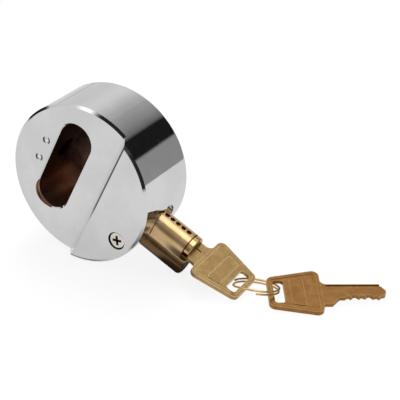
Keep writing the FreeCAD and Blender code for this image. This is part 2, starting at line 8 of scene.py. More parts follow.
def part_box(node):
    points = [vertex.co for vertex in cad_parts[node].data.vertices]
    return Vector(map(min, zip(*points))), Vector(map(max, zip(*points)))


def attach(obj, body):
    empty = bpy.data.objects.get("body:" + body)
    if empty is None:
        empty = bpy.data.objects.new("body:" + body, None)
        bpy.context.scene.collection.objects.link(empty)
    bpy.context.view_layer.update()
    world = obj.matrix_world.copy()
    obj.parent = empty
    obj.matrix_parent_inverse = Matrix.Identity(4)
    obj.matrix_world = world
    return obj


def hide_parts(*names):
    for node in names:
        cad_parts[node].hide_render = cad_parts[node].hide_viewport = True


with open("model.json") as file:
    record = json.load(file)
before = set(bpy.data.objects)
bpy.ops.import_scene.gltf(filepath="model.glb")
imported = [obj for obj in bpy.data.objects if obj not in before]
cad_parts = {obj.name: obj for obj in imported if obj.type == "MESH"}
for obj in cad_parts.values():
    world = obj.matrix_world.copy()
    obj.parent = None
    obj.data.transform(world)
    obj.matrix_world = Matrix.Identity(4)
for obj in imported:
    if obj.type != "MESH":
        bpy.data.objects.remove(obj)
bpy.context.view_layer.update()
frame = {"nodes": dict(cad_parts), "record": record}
nodes = frame["nodes"]
scene = bpy.context.scene
print("padlock frame loaded:", len(nodes), "nodes")


# small helpers for building materials

def freshMaterial(name):
    material = bpy.data.materials.new(name)
    material.use_nodes = True
    tree = material.node_tree
    tree.nodes.clear()
    output = tree.nodes.new("ShaderNodeOutputMaterial")
    output.location = (900, 0)
    return material, tree, output


def addGroup(tree, group, settings, place):
    node = tree.nodes.new("ShaderNodeGroup")
    node.node_tree = group
    node.location = place
    for name, value in settings.items():
        node.inputs[name].default_value = value
    return node.outputs


def startGroup(name, inputs, outputs):
    group = bpy.data.node_groups.new(name, "ShaderNodeTree")
    for socketName, kind, value in inputs:
        socket = group.interface.new_socket(name=socketName, in_out="INPUT", socket_type=kind)
        socket.default_value = value
    for socketName in outputs:
        group.interface.new_socket(name=socketName, in_out="OUTPUT", socket_type="NodeSocketFloat")
    start = group.nodes.new("NodeGroupInput")
    end = group.nodes.new("NodeGroupOutput")
    start.location = (-900, 0)
    end.location = (900, 0)
    return group, start, end


def mathNode(tree, operation, first, second=None, clamp=False):
    node = tree.nodes.new("ShaderNodeMath")
    node.operation = operation
    node.use_clamp = clamp
    for socket, value in zip(node.inputs, (first, second)):
        if isinstance(value, (int, float)):
            socket.default_value = value
        elif value is not None:
            tree.links.new(value, socket)
    return node.outputs[0]


# a Mix node's numbered sockets for each kind of value: first, second and result
mixSockets = {"RGBA": (6, 7, 2), "VECTOR": (4, 5, 1)}


def mixNode(tree, kind, factor, first, second):
    node = tree.nodes.new("ShaderNodeMix")
    node.data_type = kind
    firstSocket, secondSocket, result = mixSockets[kind]
    for number, value in ((0, factor), (firstSocket, first), (secondSocket, second)):
        if isinstance(value, (int, float, tuple)):
            node.inputs[number].default_value = value
        else:
            tree.links.new(value, node.inputs[number])
    return node.outputs[result]


def mixColour(tree, factor, first, second):
    return mixNode(tree, "RGBA", factor, first, second)


def rampNode(tree, source, stops):
    node = tree.nodes.new("ShaderNodeValToRGB")
    tree.links.new(source, node.inputs[0])
    ramp = node.color_ramp
    ramp.elements[0].position, ramp.elements[0].color = stops[0]
    ramp.elements[1].position, ramp.elements[1].color = stops[-1]
    for position, colour in stops[1:-1]:
        element = ramp.elements.new(position)
        element.color = colour
    return node.outputs[0]


def grey(value):
    return (value, value, value, 1.0)


def partsOf(tree, coordinates):
    split = tree.nodes.new("ShaderNodeSeparateXYZ")
    source = tree.nodes.new("ShaderNodeTexCoord")
    tree.links.new(source.outputs[coordinates], split.inputs[0])
    return split.outputs


def stepBetween(tree, value, low, high):
    step = tree.nodes.new("ShaderNodeMapRange")
    step.interpolation_type = "SMOOTHSTEP"
    step.inputs["From Min"].default_value = low
    step.inputs["From Max"].default_value = high
    tree.links.new(value, step.inputs["Value"])
    return step.outputs["Result"]


def product(tree, *factors):
    joined = factors[0]
    for factor in factors[1:]:
        joined = mathNode(tree, "MULTIPLY", joined, factor)
    return joined


def highest(tree, *values):
    joined = values[0]
    for value in values[1:]:
        joined = mathNode(tree, "MAXIMUM", joined, value)
    return joined


def between(tree, value, low, high):
    return product(tree, mathNode(tree, "GREATER_THAN", value, low), mathNode(tree, "LESS_THAN", value, high))


# a band's four edges are where it starts, is full, is last full and ends
def bandOf(tree, value, edges):
    start, full, lastFull, end = edges
    return product(tree, stepBetween(tree, value, start, full), stepBetween(tree, value, end, lastFull))


# shared surface effects, each a node group that is built once

marks = {"detail": 4.0, "roughness": 0.65, "low": 0.35, "high": 0.65}
clouds = {"detail": 6.0, "roughness": 0.6, "low": 0.4, "high": 0.65}
rubbed = {"samples": 4, "flat": 0.995, "sharp": 0.9, "detail": 3.0, "ragged": 0.6, "least": 0.55}


def buildMarksGroup():
    inputs = [("Grain Size", "NodeSocketFloat", 400.0), ("Stretch", "NodeSocketVector", (1.0, 1.0, 1.0)),
              ("Turn", "NodeSocketVector", (0.0, 0.0, 0.0))]
    group, start, end = startGroup("metalMarks", inputs, ["Height", "Mask"])
    coordinates = group.nodes.new("ShaderNodeTexCoord")
    mapping = group.nodes.new("ShaderNodeMapping")
    mapping.vector_type = "TEXTURE"
    group.links.new(coordinates.outputs["Object"], mapping.inputs["Vector"])
    group.links.new(start.outputs["Turn"], mapping.inputs["Rotation"])
    group.links.new(start.outputs["Stretch"], mapping.inputs["Scale"])
    fine = group.nodes.new("ShaderNodeTexNoise")
    fine.inputs["Detail"].default_value = marks["detail"]
    fine.inputs["Roughness"].default_value = marks["roughness"]
    group.links.new(mapping.outputs[0], fine.inputs["Vector"])
    group.links.new(start.outputs["Grain Size"], fine.inputs["Scale"])
    group.links.new(fine.outputs[0], end.inputs["Height"])
    spread = rampNode(group, fine.outputs[0], [(marks["low"], grey(0.0)), (marks["high"], grey(1.0))])
    group.links.new(spread, end.inputs["Mask"])
    return group


def buildCloudGroup():
    group, start, end = startGroup("tarnishClouds", [("Patch Size", "NodeSocketFloat", 60.0)], ["Mask"])
    coordinates = group.nodes.new("ShaderNodeTexCoord")
    cloud = group.nodes.new("ShaderNodeTexNoise")
    cloud.inputs["Detail"].default_value = clouds["detail"]
    cloud.inputs["Roughness"].default_value = clouds["roughness"]
    group.links.new(coordinates.outputs["Object"], cloud.inputs["Vector"])
    group.links.new(start.outputs["Patch Size"], cloud.inputs["Scale"])
    group.links.new(stepBetween(group, cloud.outputs[0], clouds["low"], clouds["high"]), end.inputs["Mask"])
    return group


def buildEdgeGroup():
    inputs = [("Width", "NodeSocketFloat", 0.0004), ("Break Up", "NodeSocketFloat", 500.0)]
    group, start, end = startGroup("rubbedEdges", inputs, ["Mask"])
    softened = group.nodes.new("ShaderNodeBevel")
    softened.samples = rubbed["samples"]
    group.links.new(start.outputs["Width"], softened.inputs["Radius"])
    geometry = group.nodes.new("ShaderNodeNewGeometry")
    likeness = group.nodes.new("ShaderNodeVectorMath")
    likeness.operation = "DOT_PRODUCT"
    group.links.new(softened.outputs[0], likeness.inputs[0])
    group.links.new(geometry.outputs["Normal"], likeness.inputs[1])
    edge = stepBetween(group, likeness.outputs["Value"], rubbed["flat"], rubbed["sharp"])
    coordinates = group.nodes.new("ShaderNodeTexCoord")
    nibble = group.nodes.new("ShaderNodeTexNoise")
    nibble.inputs["Detail"].default_value = rubbed["detail"]
    group.links.new(coordinates.outputs["Object"], nibble.inputs["Vector"])
    group.links.new(start.outputs["Break Up"], nibble.inputs["Scale"])
    nibbled = mathNode(group, "MULTIPLY", nibble.outputs[0], rubbed["ragged"])
    ragged = mathNode(group, "ADD", nibbled, rubbed["least"], True)
    group.links.new(product(group, edge, ragged), end.inputs["Mask"])
    return group


tilt = math.radians(23.995)     # how far the lock leans, as it lies in the photo
alongSlot = Vector((math.sin(tilt), 0, math.cos(tilt)))


# the lock's own directions: along the heel's edge, in from the cylinder's mouth, and out of the hasp face
def buildDirectionsGroup():
    group, start, end = startGroup("lockDirections", [], ["Along Heel", "From Mouth", "Raised"])
    x, y, z = partsOf(group, "Object")
    xAlong = mathNode(group, "MULTIPLY", x, math.sin(tilt))
    zAlong = mathNode(group, "MULTIPLY", z, math.cos(tilt))
    xInward = mathNode(group, "MULTIPLY", x, math.cos(tilt))
    zInward = mathNode(group, "MULTIPLY", z, math.sin(tilt))
    group.links.new(mathNode(group, "ADD", xAlong, zAlong), end.inputs["Along Heel"])
    group.links.new(mathNode(group, "SUBTRACT", zInward, xInward), end.inputs["From Mouth"])
    group.links.new(mathNode(group, "MULTIPLY", y, -1.0), end.inputs["Raised"])
    return group


# how far a point is from a line that runs square to the lock's faces
def buildReachGroup():
    inputs = [("Centre X", "NodeSocketFloat", 0.0), ("Centre Z", "NodeSocketFloat", 0.0)]
    group, start, end = startGroup("reachFromLine", inputs, ["Reach"])
    place = partsOf(group, "Object")
    asideX = mathNode(group, "SUBTRACT", place["X"], start.outputs["Centre X"])
    asideZ = mathNode(group, "SUBTRACT", place["Z"], start.outputs["Centre Z"])
    square = mathNode(group, "ADD", product(group, asideX, asideX), product(group, asideZ, asideZ))
    group.links.new(mathNode(group, "SQRT", square), end.inputs["Reach"])
    return group


marksGroup = buildMarksGroup()
cloudGroup = buildCloudGroup()
edgeGroup = buildEdgeGroup()
directionsGroup = buildDirectionsGroup()
reachGroup = buildReachGroup()


def lockDirections(tree):
    return addGroup(tree, directionsGroup, {}, (-900, -400))


def reachFrom(tree, x, z):
    return addGroup(tree, reachGroup, {"Centre X": x, "Centre Z": z}, (-900, -600))["Reach"]


def middleOf(name):
    low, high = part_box(name)
    return (low + high) / 2


# the finish of every metal of the lock and its keys
metalFinishes = {
    "bodySteel": {
        "colour": (0.76, 0.76, 0.755, 1), "shade": (0.70, 0.70, 0.70, 1), "worn": (0.80, 0.80, 0.79, 1),
        "rough": (0.03, 0.08), "grain": 420.0, "stretch": (14, 1, 1), "turn": (0, 0.12, 0),
        "bump": 0.03, "patch": 45.0, "edge": 0.0003},
    "screwSteel": {
        "colour": (0.90, 0.86, 0.78, 1), "shade": (0.78, 0.74, 0.66, 1), "worn": (0.85, 0.82, 0.75, 1),
        "rough": (0.20, 0.34), "grain": 1200.0, "stretch": (1, 1, 1), "turn": (0, 0, 0),
        "bump": 0.05, "patch": 400.0, "edge": 0.0002},
    "dowelSteel": {
        "colour": (0.86, 0.86, 0.85, 1), "shade": (0.74, 0.74, 0.73, 1), "worn": (0.9, 0.9, 0.9, 1),
        "rough": (0.10, 0.2), "grain": 1200.0, "stretch": (1, 1, 1), "turn": (0, 0, 0),
        "bump": 0.03, "patch": 500.0, "edge": 0.0002},
    "boltSteel": {
        "colour": (0.56, 0.55, 0.54, 1), "shade": (0.42, 0.42, 0.42, 1), "worn": (0.7, 0.7, 0.7, 1),
        "rough": (0.18, 0.30), "grain": 900.0, "stretch": (1, 6, 6), "turn": (0, 0, 0),
        "bump": 0.04, "patch": 120.0, "edge": 0.0003},
    "springSteel": {
        "colour": (0.52, 0.52, 0.52, 1), "shade": (0.40, 0.40, 0.40, 1), "worn": (0.6, 0.6, 0.6, 1),
        "rough": (0.2, 0.35), "grain": 900.0, "stretch": (1, 1, 1), "turn": (0, 0, 0),
        "bump": 0.03, "patch": 300.0, "edge": 0.0001},
    "shellBrass": {
        "colour": (0.80, 0.55, 0.30, 1), "shade": (0.70, 0.46, 0.23, 1), "worn": (0.90, 0.72, 0.42, 1),
        "rough": (0.28, 0.33), "grain": 500.0, "stretch": (1, 8, 8), "turn": (0, 0.42, 0),
        "bump": 0.015, "patch": 110.0, "edge": 0.0002},
    "plugBrass": {
        "colour": (0.80, 0.55, 0.26, 1), "shade": (0.62, 0.38, 0.15, 1), "worn": (0.90, 0.72, 0.42, 1),
        "rough": (0.18, 0.28), "grain": 900.0, "stretch": (1, 1, 1), "turn": (0, 0, 0),
        "bump": 0.04, "patch": 200.0, "edge": 0.0003},
    "pinBrass": {
        "colour": (0.74, 0.53, 0.25, 1), "shade": (0.5, 0.34, 0.14, 1), "worn": (0.86, 0.68, 0.38, 1),
        "rough": (0.2, 0.3), "grain": 900.0, "stretch": (1, 1, 1), "turn": (0, 0, 0),
        "bump": 0.03, "patch": 300.0, "edge": 0.0002},
    "keyBrass": {
        "colour": (0.52, 0.34, 0.14, 1), "shade": (0.44, 0.28, 0.11, 1), "worn": (1.0, 0.83, 0.5, 1),
        "rough": (0.26, 0.38), "grain": 1500.0, "stretch": (1, 1, 1), "turn": (0, 0, 0),
        "bump": 0.08, "patch": 260.0, "edge": 0.0005},
    "looseKeyBrass": {
        "colour": (0.38, 0.19, 0.06, 1), "shade": (0.31, 0.15, 0.045, 1), "worn": (0.64, 0.39, 0.15, 1),
        "rough": (0.28, 0.42), "grain": 1500.0, "stretch": (1, 1, 1), "turn": (0, 0, 0),
        "bump": 0.08, "patch": 260.0, "edge": 0.0005},
    "ringBrass": {
        "colour": (0.80, 0.52, 0.20, 1), "shade": (0.62, 0.38, 0.13, 1), "worn": (0.92, 0.70, 0.36, 1),
        "rough": (0.24, 0.34), "grain": 1200.0, "stretch": (1, 1, 1), "turn": (0, 0, 0),
        "bump": 0.03, "patch": 260.0, "edge": 0.0002},
}
reliefDepth = 0.0002

# the body's slot was never plated: streaked copper brown, with painted light making it lighter at the slot's
# lower end
slotCopper = {"reach": 0.0348, "top": 0.0006, "bottom": 0.0298, "rough": 0.34, "streak": 120.0,
              "stretch": (1, 6, 1), "light": (0.125, 0.066, 0.046, 1), "dark": (0.04, 0.025, 0.02, 1),
              "paintedLightFrom": -0.009, "paintedLightTo": -0.019, "paintedLightShare": 0.8, "low": (0.54, 0.33, 0.24, 1)}
# painted shade: the screw's pocket is painted with the slot's copper colours, and its cross recess is painted
# dark
screwPocketShade = {"reach": 0.0043, "top": -0.0037, "recessReach": 0.0026, "recessTop": -0.0031,
             "recess": (0.10, 0.09, 0.075, 1), "recessRough": 0.5}
# painted shade, nearly black: crescents beside the dowels, the line of the heel's edge, and the heel's lower
# rim
paintedShade = {"colour": (0.03, 0.03, 0.03, 1), "share": 0.95}
dowelSeatShade = {"ring": (0.0012, 0.0013, 0.00185, 0.00195), "depth": 0.001,
             "asideFrom": 0.0005, "asideTo": 0.0013}
heelEdgeShade = {"line": (-0.0127, -0.0125, -0.0117, -0.0115), "low": 0.0029, "high": 0.0031,
            "fadeFrom": -0.013, "fadeTo": -0.001, "dark": 0.8, "faint": 0.12}
heelRimShade = {"inner": 0.03495, "outer": 0.03515, "low": 0.0027, "high": 0.0030, "below": -0.020,
           "across": (-0.0150, -0.0135, 0.008, 0.021), "dark": 0.88}
# painted sheen: the heel's sloping wall is painted a lighter tone of the same steel
heelWallSheen = {"slope": (-0.0122, -0.0121, -0.0088, -0.0085), "rise": (0.0001, 0.0003, 0.0026, 0.0032),
            "colour": (0.87, 0.87, 0.865, 1)}
screwMiddle = middleOf("retaining_screw")


def slotCopperAndPocketShade(tree):
    depth = partsOf(tree, "Object")["Y"]
    inRim = mathNode(tree, "LESS_THAN", reachFrom(tree, 0.0, 0.0), slotCopper["reach"])
    nearScrew = mathNode(tree, "LESS_THAN", reachFrom(tree, screwMiddle.x, screwMiddle.z), screwPocketShade["reach"])
    cavity = product(tree, inRim, between(tree, depth, slotCopper["top"], slotCopper["bottom"]))
    # painted shade: the screw's pocket takes the slot's copper colours
    pocketShade = product(tree, nearScrew, between(tree, depth, screwPocketShade["top"], slotCopper["bottom"]))
    return highest(tree, cavity, pocketShade)


def copperWithPaintedLight(tree):
    settings = {"Grain Size": slotCopper["streak"], "Stretch": slotCopper["stretch"], "Turn": (0, tilt, 0)}
    streaks = addGroup(tree, marksGroup, settings, (-600, -500))
    streaked = mixColour(tree, streaks["Mask"], slotCopper["dark"], slotCopper["light"])
    # painted light: the copper is mixed towards a lighter brown at the slot's lower end
    paintedLightLowEnd = stepBetween(tree, lockDirections(tree)["Along Heel"], slotCopper["paintedLightFrom"], slotCopper["paintedLightTo"])
    return mixColour(tree, product(tree, paintedLightLowEnd, slotCopper["paintedLightShare"]), streaked, slotCopper["low"])


# painted shade along the heel's edge, fading along the heel, and on the heel's lower rim
def heelShadeLines(tree):
    place = partsOf(tree, "Object")
    directions = lockDirections(tree)
    fade = stepBetween(tree, directions["Along Heel"], heelEdgeShade["fadeFrom"], heelEdgeShade["fadeTo"])
    strength = mathNode(tree, "ADD", product(tree, fade, heelEdgeShade["dark"]), heelEdgeShade["faint"])
    edge = product(tree, bandOf(tree, directions["From Mouth"], heelEdgeShade["line"]),
                   stepBetween(tree, directions["Raised"], heelEdgeShade["low"], heelEdgeShade["high"]), strength)
    rimShade = product(tree, stepBetween(tree, reachFrom(tree, 0.0, 0.0), heelRimShade["inner"], heelRimShade["outer"]),
                  stepBetween(tree, directions["Raised"], heelRimShade["low"], heelRimShade["high"]),
                  mathNode(tree, "LESS_THAN", place["Z"], heelRimShade["below"]),
                  bandOf(tree, place["X"], heelRimShade["across"]))
    return highest(tree, edge, product(tree, rimShade, heelRimShade["dark"]))


# painted shade in crescents beside each dowel
def dowelCrescentShade(tree, dowel):
    place = partsOf(tree, "Object")
    middle = middleOf(dowel)
    aside = mathNode(tree, "ABSOLUTE", mathNode(tree, "SUBTRACT", place["X"], middle.x))
    return product(tree, bandOf(tree, reachFrom(tree, middle.x, middle.z), dowelSeatShade["ring"]),
                   stepBetween(tree, aside, dowelSeatShade["asideFrom"], dowelSeatShade["asideTo"]),
                   mathNode(tree, "LESS_THAN", place["Y"], dowelSeatShade["depth"]))


def bodyCopperAndShade(tree):
    crescents = [dowelCrescentShade(tree, dowel) for dowel in ("slot_dowel_1", "slot_dowel_2")]
    # the slot's copper, with painted shade in the screw's pocket, along the heel and beside the dowels
    paintedShadeMask = highest(tree, heelShadeLines(tree), *crescents)
    coloured = mixColour(tree, paintedShadeMask, copperWithPaintedLight(tree), paintedShade["colour"])
    mask = highest(tree, slotCopperAndPocketShade(tree), product(tree, paintedShadeMask, paintedShade["share"]))
    return mask, coloured, slotCopper["rough"]


# painted sheen: a lighter tone on the heel's sloping wall
def heelWallPaintedSheen(tree):
    directions = lockDirections(tree)
    onSlope = bandOf(tree, directions["From Mouth"], heelWallSheen["slope"])
    return product(tree, onSlope, bandOf(tree, directions["Raised"], heelWallSheen["rise"])), heelWallSheen["colour"]


def screwRecessShade(tree):
    depth = partsOf(tree, "Object")["Y"]
    reach = reachFrom(tree, screwMiddle.x, screwMiddle.z)
    # painted shade: the cross recess is painted dark
    recess = product(tree, mathNode(tree, "LESS_THAN", reach, screwPocketShade["recessReach"]),
                     mathNode(tree, "GREATER_THAN", depth, screwPocketShade["recessTop"]))
    return recess, screwPocketShade["recess"], screwPocketShade["recessRough"]


# painted shade in the barrel's hollows: the walls of its row of pin bores, and the seam round the plug's
# flange
barrel = {"depth": 0.0125, "boreRadius": 0.00125, "boreStart": -0.0554, "wallLow": 0.003, "wallTop": 0.0057,
          "seamEnd": -0.0530, "seamLow": -0.0052, "plugStart": -0.0536,
          "shadeColour": (0.16, 0.07, 0.022, 1), "rough": 0.45}
# the lobe below it: its middle, the guide flat on its side, and the shade on its lower half
lobe = {"middle": 0.0105, "flat": 0.004, "near": 0.00003, "far": 0.00006, "fullTo": 0.0034, "endsAt": 0.0036,
        "above": (0.0029, 0.0030, 0.0044, 0.0054), "aboveFrom": 0.002, "roundTo": 0.0024,
        "shadeFrom": -0.0054, "shadeTo": -0.0078, "shadeShare": 0.95, "shade": (0.155, 0.085, 0.036, 1)}


def shellBoreAndSeamShade(tree):
    directions = lockDirections(tree)
    aside = mathNode(tree, "ABSOLUTE", mathNode(tree, "ADD", directions["Raised"], barrel["depth"]))
    boreShade = product(tree, mathNode(tree, "LESS_THAN", aside, barrel["boreRadius"]),
                    mathNode(tree, "GREATER_THAN", directions["From Mouth"], barrel["boreStart"]),
                    between(tree, directions["Along Heel"], barrel["wallLow"], barrel["wallTop"]))
    seamShade = product(tree, mathNode(tree, "LESS_THAN", directions["From Mouth"], barrel["seamEnd"]),
                   mathNode(tree, "GREATER_THAN", directions["Along Heel"], barrel["seamLow"]))
    return highest(tree, boreShade, seamShade), barrel["shadeColour"], barrel["rough"]


# painted shade on the plug behind its flange, inside the shell
def plugShadeBehindFlange(tree):
    behindFlange = mathNode(tree, "GREATER_THAN", lockDirections(tree)["From Mouth"], barrel["plugStart"])
    return behindFlange, barrel["shadeColour"], barrel["rough"]


# painted shade on the lobe's lower half
def lobePaintedShade(tree):
    lower = stepBetween(tree, lockDirections(tree)["Along Heel"], lobe["shadeFrom"], lobe["shadeTo"])
    return product(tree, lower, lobe["shadeShare"]), lobe["shade"]


# the guide flat beside the lobe reflects as if it were round, as in the photo
def lobeNormal(tree):
    directions = lockDirections(tree)
    aboveMiddle = mathNode(tree, "ADD", directions["Along Heel"], lobe["middle"])
    rounded = mathNode(tree, "MINIMUM", aboveMiddle, lobe["roundTo"])
    sideways = mathNode(tree, "ADD", directions["Raised"], barrel["depth"])
    outward = tree.nodes.new("ShaderNodeCombineXYZ")
    tree.links.new(mathNode(tree, "MULTIPLY", rounded, math.sin(tilt)), outward.inputs["X"])
    tree.links.new(mathNode(tree, "MULTIPLY", sideways, -1.0), outward.inputs["Y"])
    tree.links.new(mathNode(tree, "MULTIPLY", rounded, math.cos(tilt)), outward.inputs["Z"])
    unit = tree.nodes.new("ShaderNodeVectorMath")
    unit.operation = "NORMALIZE"
    tree.links.new(outward.outputs[0], unit.inputs[0])
    fromFlat = mathNode(tree, "ABSOLUTE", mathNode(tree, "SUBTRACT", sideways, lobe["flat"]))
    onFlat = product(tree, stepBetween(tree, fromFlat, lobe["far"], lobe["near"]),
                     stepBetween(tree, aboveMiddle, lobe["endsAt"], lobe["fullTo"]))
    overFlat = product(tree, bandOf(tree, aboveMiddle, lobe["above"]),
                       mathNode(tree, "GREATER_THAN", sideways, lobe["aboveFrom"]))
    geometry = tree.nodes.new("ShaderNodeNewGeometry")
    masked = highest(tree, onFlat, overFlat)
    return mixNode(tree, "VECTOR", masked, geometry.outputs["Normal"], unit.outputs[0])


# what some metals have besides their finish: hollows with painted shade (and the body slot's copper), a
# painted lighter or darker tone, a changed reflection
surfaceDetails = {
    "bodySteel": {"shadedHollows": bodyCopperAndShade, "tone": heelWallPaintedSheen},
    "screwSteel": {"shadedHollows": screwRecessShade},
    "shellBrass": {"shadedHollows": shellBoreAndSeamShade, "tone": lobePaintedShade, "normal": lobeNormal},
    "plugBrass": {"shadedHollows": plugShadeBehindFlange},
}


def makeMetal(name):
    finish = metalFinishes[name]
    details = surfaceDetails.get(name, {})
    material, tree, output = freshMaterial(name)
    shader = tree.nodes.new("ShaderNodeBsdfPrincipled")
    shader.location = (600, 0)
    tree.links.new(shader.outputs["BSDF"], output.inputs["Surface"])
    settings = {"Grain Size": finish["grain"], "Stretch": finish["stretch"], "Turn": finish["turn"]}
    scratches = addGroup(tree, marksGroup, settings, (-600, 200))
    tarnish = addGroup(tree, cloudGroup, {"Patch Size": finish["patch"]}, (-600, 0))
    edges = addGroup(tree, edgeGroup, {"Width": finish["edge"]}, (-600, -200))
    coloured = mixColour(tree, tarnish["Mask"], finish["shade"], finish["colour"])
    coloured = mixColour(tree, edges["Mask"], coloured, finish["worn"])
    uneven = tree.nodes.new("ShaderNodeMapRange")
    uneven.inputs["To Min"].default_value, uneven.inputs["To Max"].default_value = finish["rough"]
    tree.links.new(scratches["Mask"], uneven.inputs["Value"])
    roughened = uneven.outputs["Result"]
    if "shadedHollows" in details:
        shadedHollow, shadedHollowColour, shadedHollowRough = details["shadedHollows"](tree)
        coloured = mixColour(tree, shadedHollow, coloured, shadedHollowColour)
        roughened = highest(tree, roughened, product(tree, shadedHollow, shadedHollowRough))
    # painted sheen or painted shade as a tone of the base colour
    if "tone" in details:
        paintedToneMask, paintedToneColour = details["tone"](tree)
        coloured = mixColour(tree, paintedToneMask, coloured, paintedToneColour)
    tree.links.new(coloured, shader.inputs["Base Color"])
    tree.links.new(roughened, shader.inputs["Roughness"])
    shader.inputs["Metallic"].default_value = 1.0
    relief = tree.nodes.new("ShaderNodeBump")
    relief.inputs["Strength"].default_value = finish["bump"]
    relief.inputs["Distance"].default_value = reliefDepth
    tree.links.new(scratches["Height"], relief.inputs["Height"])
    if "normal" in details:
        tree.links.new(details["normal"](tree), relief.inputs["Normal"])
    tree.links.new(relief.outputs["Normal"], shader.inputs["Normal"])
    return material


metals = {name: makeMetal(name) for name in metalFinishes}
print("metals made:", len(metals))

finishOfSlot = {
    "body_steel": "bodySteel", "screw_steel": "screwSteel", "dowel_steel": "dowelSteel",
    "bolt_steel": "boltSteel", "spring_steel": "springSteel", "shell_brass": "shellBrass",
    "plug_brass": "plugBrass", "pin_brass": "pinBrass", "key_brass": "keyBrass",
    "loose_key_brass": "looseKeyBrass", "ring_brass": "ringBrass",
}


def dress(piece, slotName):
    piece.data.materials.clear()
    piece.data.materials.append(metals[finishOfSlot[slotName]])


for row in frame["record"]["subparts"]:
    dress(nodes[row["node"]], row["material_slot"])
print("nodes dressed")

# the six pin springs, wound from wire where the solid has plain sleeves
springs = {"count": 6, "outerRadius": 0.00108, "wire": 0.00024, "turns": 8, "stepsPerTurn": 20,
           "wireSides": 8, "endGap": 0.00004, "weld": 1e-7}


def makeSpring(number):
    low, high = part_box("pin_spring_%d" % number)
    # the sleeve leans with the lock, so its length follows from the height of its box
    leaning = 2 * springs["outerRadius"] * math.sin(tilt)
    length = (high.z - low.z - leaning) / math.cos(tilt) - 2 * springs["endGap"]
    rise = length - springs["wire"]
    radius = springs["outerRadius"] - springs["wire"] / 2
    steps = springs["turns"] * springs["stepsPerTurn"]
    mesh = bpy.data.meshes.new("woundSpring_%d" % number)
    shape = bmesh.new()
    bmesh.ops.create_circle(shape, cap_ends=False, segments=springs["wireSides"], radius=springs["wire"] / 2)
    bmesh.ops.rotate(shape, verts=shape.verts, cent=(0, 0, 0), matrix=Matrix.Rotation(math.pi / 2, 3, "X"))
    bmesh.ops.translate(shape, verts=shape.verts, vec=(radius, 0, -rise / 2))
    bmesh.ops.spin(shape, geom=shape.edges[:], cent=(0, 0, 0), axis=(0, 0, 1), dvec=(0, 0, rise / steps),
                   angle=2 * math.pi * springs["turns"], steps=steps, use_merge=False)
    bmesh.ops.remove_doubles(shape, verts=shape.verts, dist=springs["weld"])
    bmesh.ops.holes_fill(shape, edges=[edge for edge in shape.edges if edge.is_boundary], sides=0)
    bmesh.ops.recalc_face_normals(shape, faces=shape.faces)
    for face in shape.faces:
        face.smooth = len(face.verts) == 4
    lean = Vector((0, 0, 1)).rotation_difference(alongSlot).to_matrix()
    bmesh.ops.rotate(shape, verts=shape.verts, cent=(0, 0, 0), matrix=lean)
    bmesh.ops.translate(shape, verts=shape.verts, vec=(low + high) / 2)
    shape.to_mesh(mesh)
    shape.free()
    spring = bpy.data.objects.new("woundSpring_%d" % number, mesh)
    scene.collection.objects.link(spring)
    dress(spring, "spring_steel")
    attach(spring, "key_cylinder")
    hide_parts("pin_spring_%d" % number)


for number in range(1, springs["count"] + 1):
    makeSpring(number)
print("pin springs wound")

# the floor is paper that keeps the shadow; where metal mirrors it, it has a tone of its own
paper = {"height": -0.0365, "radius": 0.34, "middle": 0.04, "sides": 96, "colour": (0.86, 0.86, 0.86, 1),
         "cameraShare": 0.25, "mirrorShare": 0.85, "mirrorTone": 0.76,
         "clear": 0.8, "clearerFrom": 0.055, "clearerTo": 0.075, "clearer": 0.12}
# mirrored only: a painted shadow on the paper close under the barrel, and painted shade on its far front
paperShade = {"across": (0.028, 0.034, 0.050, 0.060), "deep": (-0.018, -0.001, 0.028, 0.040), "share": 0.93,
              "frontFrom": -0.12, "frontTo": -0.17, "frontShare": 0.7}


def paperTone(tree, x, y):
    shadowUnderBarrel = product(tree, bandOf(tree, x, paperShade["across"]), bandOf(tree, y, paperShade["deep"]))
    front = stepBetween(tree, y, paperShade["frontFrom"], paperShade["frontTo"])
    shaded = highest(tree, product(tree, shadowUnderBarrel, paperShade["share"]),
                     product(tree, front, paperShade["frontShare"]))
    return product(tree, mathNode(tree, "SUBTRACT", 1.0, shaded), paper["mirrorTone"])


def makePaper():
    material, tree, output = freshMaterial("floorPaper")
    place = partsOf(tree, "Object")
    rays = tree.nodes.new("ShaderNodeLightPath")
    camera = rays.outputs["Is Camera Ray"]
    mirrored = highest(tree, rays.outputs["Is Glossy Ray"], rays.outputs["Is Transmission Ray"])
    matt = tree.nodes.new("ShaderNodeBsdfDiffuse")
    matt.inputs["Color"].default_value = paper["colour"]
    glow = tree.nodes.new("ShaderNodeEmission")
    mirroredTone = product(tree, mirrored, paperTone(tree, place["X"], place["Y"]))
    tree.links.new(mathNode(tree, "ADD", camera, mirroredTone), glow.inputs["Strength"])
    share = mathNode(tree, "ADD", product(tree, mirrored, paper["mirrorShare"]),
                     product(tree, camera, paper["cameraShare"]))
    surface = tree.nodes.new("ShaderNodeMixShader")
    tree.links.new(share, surface.inputs[0])
    tree.links.new(matt.outputs[0], surface.inputs[1])
    tree.links.new(glow.outputs[0], surface.inputs[2])
    # the paper is see-through, so that keys that swing or slide below it still show and stay lit
    side = tree.nodes.new("ShaderNodeNewGeometry")
    underKeys = stepBetween(tree, place["X"], paper["clearerFrom"], paper["clearerTo"])
    nearKeys = product(tree, underKeys, paper["clearer"])
    clearness = product(tree, camera, mathNode(tree, "ADD", nearKeys, paper["clear"]))
    seeThrough = tree.nodes.new("ShaderNodeBsdfTransparent")
    thinned = tree.nodes.new("ShaderNodeMixShader")
    tree.links.new(highest(tree, side.outputs["Backfacing"], clearness), thinned.inputs[0])
    tree.links.new(surface.outputs[0], thinned.inputs[1])
    tree.links.new(seeThrough.outputs[0], thinned.inputs[2])
    tree.links.new(thinned.outputs[0], output.inputs["Surface"])
    return material


